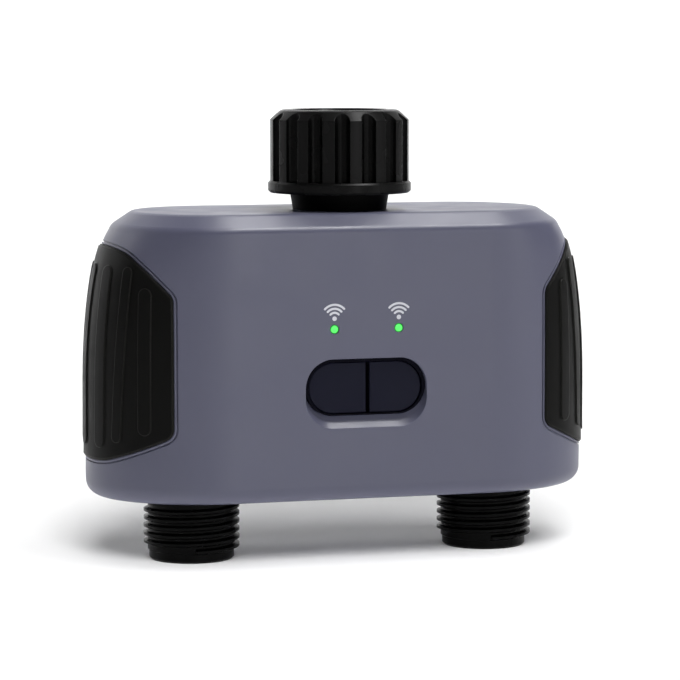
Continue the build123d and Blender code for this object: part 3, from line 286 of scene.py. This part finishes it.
def cell_wrap():
    """Dry cell: dark wrap with a coloured band above its middle and bare metal ends."""
    material = moulded("cell_wrap", srgb(38, 40, 44), rough=0.3, grain_mm=0.5, grain=0.003, coat=0.4)
    tree = material.node_tree
    shader = tree.nodes["Principled BSDF"]
    tone = shader.inputs["Base Color"].links[0].from_socket
    place = tree.nodes.new("ShaderNodeTexCoord").outputs["Object"]
    height = node(tree, "ShaderNodeSeparateXYZ", Vector=place).outputs["Z"]
    low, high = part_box("battery_1")[0][2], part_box("battery_1")[1][2]
    middle = (low + high) / 2

    def within(centre, half):
        """1 where the height is within half of a centre, else 0."""
        inside = tree.nodes.new("ShaderNodeMath")
        inside.operation = "COMPARE"
        tree.links.new(height, inside.inputs[0])
        inside.inputs[1].default_value = centre
        inside.inputs[2].default_value = half
        return inside.outputs["Value"]

    in_band = within(middle + CELL_BAND_RISE, CELL_BAND_HALF)
    wrapped = within(middle, (high - low) / 2 - CELL_BARE_END)
    wrap_tone = mixed(tree, in_band, tone, srgb(196, 150, 62))
    tree.links.new(mixed(tree, wrapped, srgb(200, 201, 204), wrap_tone), shader.inputs["Base Color"])
    bare = tree.nodes.new("ShaderNodeMath")
    bare.operation = "SUBTRACT"
    bare.inputs[0].default_value = 1.0
    tree.links.new(wrapped, bare.inputs[1])
    tree.links.new(bare.outputs["Value"], shader.inputs["Metallic"])
    return material


light = green_light()
cell = cell_wrap()
dress(case, "front_shell", "rear_shell", "battery_door")
dress(grip, "left_grip", "right_grip")
dress(cap, "inlet_nut")
dress(neck, "inlet_collar")
dress(spout, "left_outlet", "right_outlet")
dress(button, "left_button", "right_button")
dress(bezel, "button_bezel")
dress(inner, "inlet_tailpiece", "manifold", "battery_box", "left_bonnet", "right_bonnet",
      "left_diaphragm_core", "right_diaphragm_core")
dress(seal, "inlet_washer", "tailpiece_oring", "shell_gasket", "battery_gasket", "left_outlet_oring",
      "right_outlet_oring", "left_diaphragm", "right_diaphragm")
dress(silicone, "left_button_dome", "right_button_dome")
dress(nylon, "left_coil_bobbin", "right_coil_bobbin")
dress(steel, "case_screws", "board_screws", "left_bonnet_screws", "right_bonnet_screws",
      "left_plunger", "right_plunger", "left_pole_piece", "right_pole_piece", "left_coil_yoke",
      "right_coil_yoke", "left_coil_nut", "right_coil_nut")
dress(spring, "left_plunger_spring", "right_plunger_spring")
dress(screen, "filter_screen")
dress(copper, "left_coil_winding", "right_coil_winding")
dress(board, "circuit_board")
dress(chip, "board_components")
dress(shield, "wireless_module")
dress(lamp, "led_chips")
dress(contact, "battery_contacts")
dress(cell, "battery_1", "battery_2", "battery_3", "battery_4")
dress(light, "left_light_pipe", "right_light_pipe")


# Springs and domes inside, as copies with meshes of their own
def yielding(name):
    """Copy of a CAD node with a mesh of its own, held by the case, in place of the hidden node."""
    piece = bpy.data.objects.new(name + "_soft", nodes[name].data.copy())
    bpy.context.scene.collection.objects.link(piece)
    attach(piece, "case")
    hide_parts(name)
    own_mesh(piece)


for side in ("left", "right"):
    yielding(side + "_plunger_spring")
    yielding(side + "_button_dome")

# Printed signal symbols above the lights: a dot and three arcs
ink = moulded("symbol_ink", srgb(228, 229, 236), rough=0.55, specular=0.3, grain_mm=0.15, grain=0.004,
              cloud=0.03)
SYMBOL_DOT = 0.64 * MM
SYMBOL_RISE = 2.95 * MM        # dot above the light's axis
DOT_STEPS = 28
ARC_RADII = (1.62 * MM, 2.71 * MM, 3.8 * MM)
ARC_WIDTH = 0.6 * MM
ARC_HALF = radians(46)         # each side of straight up
ARC_STEPS = 28
END_STEPS = 6                  # round the half circle at an arc's end
INK_THICK = 0.02 * MM          # each side of the front face
front_y = cad_bounds[0][1]


def strip(points, width):
    """Pairs of side points of a flat strip along points in the XZ plane."""
    rows = []
    for index, here in enumerate(points):
        before = points[max(index - 1, 0)]
        after = points[min(index + 1, len(points) - 1)]
        along = (after - before).normalized()
        across = Vector((-along.y, along.x)) * width / 2
        rows.append((here + across, here - across))
    return rows


def cap_round(centre, outward, radius):
    """Points of a half circle that closes a strip's end."""
    along = outward.normalized()
    left = Vector((-along.y, along.x))
    points = []
    for i in range(1, END_STEPS):
        angle = pi * i / END_STEPS
        points.append(centre + radius * (left * cos(angle) + along * sin(angle)))
    return points


def symbol(name, centre_x, centre_z):
    """One signal symbol, printed on the front face above a light."""
    vertices, faces = [], []

    def lay(outline):
        """One flat raised patch from an outline in XZ."""
        start = len(vertices)
        count = len(outline)
        for depth in (front_y - INK_THICK, front_y + INK_THICK):
            vertices.extend((point[0], depth, point[1]) for point in outline)
        faces.append(tuple(start + i for i in range(count)))
        faces.append(tuple(start + count + i for i in reversed(range(count))))
        for i in range(count):
            j = (i + 1) % count
            faces.append((start + i, start + count + i, start + count + j, start + j))

    turns = [2 * pi * i / DOT_STEPS for i in range(DOT_STEPS)]
    lay([(centre_x + SYMBOL_DOT * cos(turn), centre_z + SYMBOL_DOT * sin(turn)) for turn in turns])
    for radius in ARC_RADII:
        line = []
        for i in range(ARC_STEPS + 1):
            angle = pi / 2 + ARC_HALF * (2 * i / ARC_STEPS - 1)
            line.append(Vector((centre_x + radius * cos(angle), centre_z + radius * sin(angle))))
        rows = strip(line, ARC_WIDTH)
        outline = [a for a, b in rows]
        outline += cap_round(line[-1], line[-1] - line[-2], ARC_WIDTH / 2)
        outline += [b for a, b in reversed(rows)]
        outline += cap_round(line[0], line[0] - line[1], ARC_WIDTH / 2)
        lay(outline)
    mesh = bpy.data.meshes.new(name)
    mesh.from_pydata(vertices, [], faces)
    mesh.update()
    made = bpy.data.objects.new(name, mesh)
    bpy.context.scene.collection.objects.link(made)
    mesh.materials.append(ink)
    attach(made, "case")


for side in ("left", "right"):
    low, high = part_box(side + "_light_pipe")
    symbol(side + "_light_symbol", (low[0] + high[0]) / 2, (low[2] + high[2]) / 2 + SYMBOL_RISE)

# Studio: one pale sweep and a faint even world, in metres
FLOOR_HALF = 4.0
FLOOR_BACK = 3.0
SWEEP_RADIUS = 1.0             # of the curve from the floor up to the wall
SWEEP_STEPS = 24
WALL_TOP = 4.0
FLOOR_COLOUR = (0.9, 0.9, 0.9)
FLOOR_ROUGH = 0.9
FLOOR_LIFT = 0.07              # glow of the floor, for the camera, reflections and glass
LIFT_TOP = 0.8                 # height up the sweep where that glow has faded out
WORLD_STRENGTH = 0.03


def stage_surface():
    """Floor that sweeps up into a back wall."""
    mesh = bpy.data.meshes.new("floor")
    rows = [(-FLOOR_HALF, 0.0), (FLOOR_BACK - SWEEP_RADIUS, 0.0)]
    for i in range(1, SWEEP_STEPS + 1):
        angle = pi / 2 * i / SWEEP_STEPS
        rows.append((FLOOR_BACK - SWEEP_RADIUS + SWEEP_RADIUS * sin(angle),
                     SWEEP_RADIUS - SWEEP_RADIUS * cos(angle)))
    rows.append((FLOOR_BACK, WALL_TOP))
    vertices, faces = [], []
    for y, z in rows:
        vertices += [(-FLOOR_HALF, y, z), (FLOOR_HALF, y, z)]
    for i in range(len(rows) - 1):
        faces.append((2 * i, 2 * i + 1, 2 * i + 3, 2 * i + 2))
    mesh.from_pydata(vertices, [], faces)
    mesh.update()
    for polygon in mesh.polygons:
        polygon.use_smooth = True
    made = bpy.data.objects.new("floor", mesh)
    bpy.context.scene.collection.objects.link(made)
    return made


floor = stage_surface()
paper = bpy.data.materials.new("pale_floor")
paper.use_nodes = True
tree = paper.node_tree
base = tree.nodes["Principled BSDF"]
base.inputs["Base Color"].default_value = rgba(FLOOR_COLOUR)
base.inputs["Roughness"].default_value = FLOOR_ROUGH
base.inputs["Specular IOR Level"].default_value = 0.0
path = tree.nodes.new("ShaderNodeLightPath")
seen = path.outputs["Is Camera Ray"]
for name in ("Is Glossy Ray", "Is Transmission Ray"):
    total = tree.nodes.new("ShaderNodeMath")
    total.operation = "MAXIMUM"
    tree.links.new(seen, total.inputs[0])
    tree.links.new(path.outputs[name], total.inputs[1])
    seen = total.outputs["Value"]
place = tree.nodes.new("ShaderNodeNewGeometry").outputs["Position"]
height = node(tree, "ShaderNodeSeparateXYZ", Vector=place).outputs["Z"]
lift = tree.nodes.new("ShaderNodeMath")
lift.operation = "MULTIPLY"
tree.links.new(ramp(tree, height, 0.0, LIFT_TOP, FLOOR_LIFT, 0.0), lift.inputs[1])
tree.links.new(seen, lift.inputs[0])
base.inputs["Emission Color"].default_value = WHITE
tree.links.new(lift.outputs["Value"], base.inputs["Emission Strength"])
floor.data.materials.append(paper)

world = bpy.data.worlds.new("studio")
bpy.context.scene.world = world
world.use_nodes = True
background = world.node_tree.nodes["Background"]
background.inputs["Color"].default_value = WHITE
background.inputs["Strength"].default_value = WORLD_STRENGTH


# Lamps: a broad key on everything, one for the floor alone, and accents kept off the floor
def floor_link(state):
    """Light link that keeps a lamp off the floor, or on the floor alone."""
    linked = bpy.data.collections.new("floor_" + state.lower())
    linked.objects.link(floor)
    linked.collection_objects[0].light_linking.link_state = state
    return linked


OFF_FLOOR = floor_link("EXCLUDE")
FLOOR_ONLY = floor_link("INCLUDE")


def sun(name, strength, azimuth, elevation, spread, receivers=None):
    """Distant lamp, angles in degrees; azimuth 0 shines from the front, 90 from the right."""
    data = bpy.data.lights.new(name, "SUN")
    data.energy = strength
    data.angle = radians(spread)
    made = bpy.data.objects.new(name, data)
    around, above = radians(azimuth), radians(elevation)
    source = Vector((sin(around) * cos(above), -cos(around) * cos(above), sin(above)))
    made.rotation_mode = "QUATERNION"
    made.rotation_quaternion = source.to_track_quat("Z", "Y")
    made.light_linking.receiver_collection = receivers
    bpy.context.scene.collection.objects.link(made)


sun("key", 1.2, 34, 68, 36)
sun("floor_light", 2.8, -10, 45, 26, FLOOR_ONLY)
sun("front", 0.28, 12, 5, 12, OFF_FLOOR)
sun("side", 0.25, 48, 6, 20, OFF_FLOOR)
sun("bevel", 0.7, 139, 64, 17, OFF_FLOOR)
sun("lip", 1.5, 82, 70, 17, OFF_FLOOR)
sun("left_rim", 0.4, -122, 20, 26, OFF_FLOOR)

# Camera at the photograph's angle
LENS = 163.75
SENSOR = 36.0
CLIP_NEAR, CLIP_FAR = 0.01, 50.0
TARGET = Vector((0.000159, -0.003547, 0.0599))
AZIMUTH = radians(-16.45)
PITCH = radians(5.725)
DISTANCE = 0.8729
right = Vector((cos(AZIMUTH), sin(AZIMUTH), 0))
forward = Vector((-sin(AZIMUTH) * cos(PITCH), cos(AZIMUTH) * cos(PITCH), -sin(PITCH)))
up = right.cross(forward)
data = bpy.data.cameras.new("camera")
data.lens = LENS
data.sensor_width = SENSOR
data.clip_start = CLIP_NEAR
data.clip_end = CLIP_FAR
camera = bpy.data.objects.new("camera", data)
turn = Matrix((right, up, -forward)).transposed()
camera.matrix_world = Matrix.Translation(TARGET - forward * DISTANCE) @ turn.to_4x4()
bpy.context.scene.collection.objects.link(camera)
bpy.context.scene.camera = camera
bpy.context.scene.view_settings.view_transform = "Standard"
